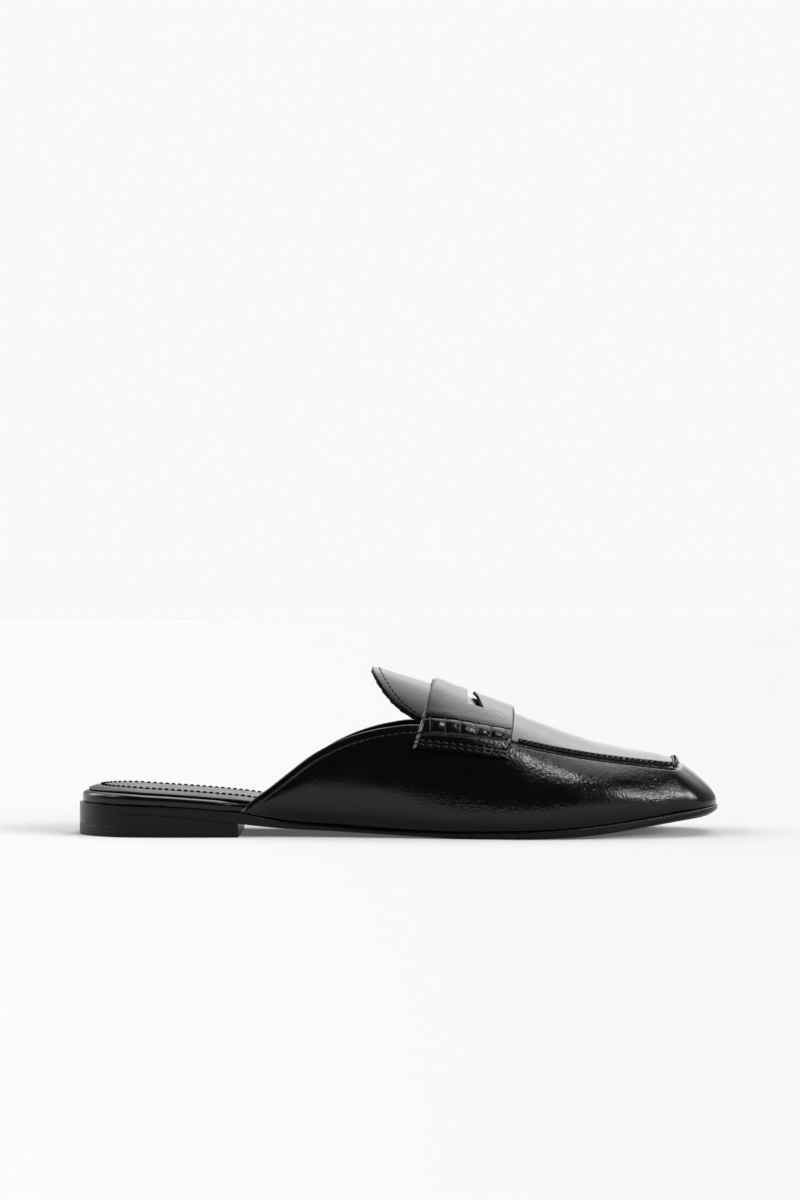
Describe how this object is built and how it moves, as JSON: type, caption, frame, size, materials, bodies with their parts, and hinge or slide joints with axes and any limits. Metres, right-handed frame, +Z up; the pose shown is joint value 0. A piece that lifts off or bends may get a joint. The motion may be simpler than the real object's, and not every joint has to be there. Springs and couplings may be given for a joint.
{
  "type": "loafer mule",
  "caption": "Black leather penny-loafer mule, right shoe: soft square toe, apron with raised seam, tongue, saddle strap with slot, open back, low block heel.",
  "frame": {"origin": "on the floor under the middle of the shoe's box", "axes": "+X to the toe, -Y to the outer (lateral) side of the foot, +Z up"},
  "size_m": [0.266, 0.085, 0.0693],
  "materials": {
    "upper_leather": "polished black leather with a fine grain",
    "sock_leather": "satin black leather",
    "sole_rubber": "smooth satin, edge inked black",
    "top_piece_rubber": "matte"
  },
  "bodies": {
    "root": {"outsole": "sole_rubber", "heel_block": "sole_rubber", "heel_top_piece": "top_piece_rubber", "footbed": "upper_leather", "sock": "sock_leather", "upper": "upper_leather", "tongue": "upper_leather", "saddle_strap": "upper_leather"}
  },
  "joints": []
}
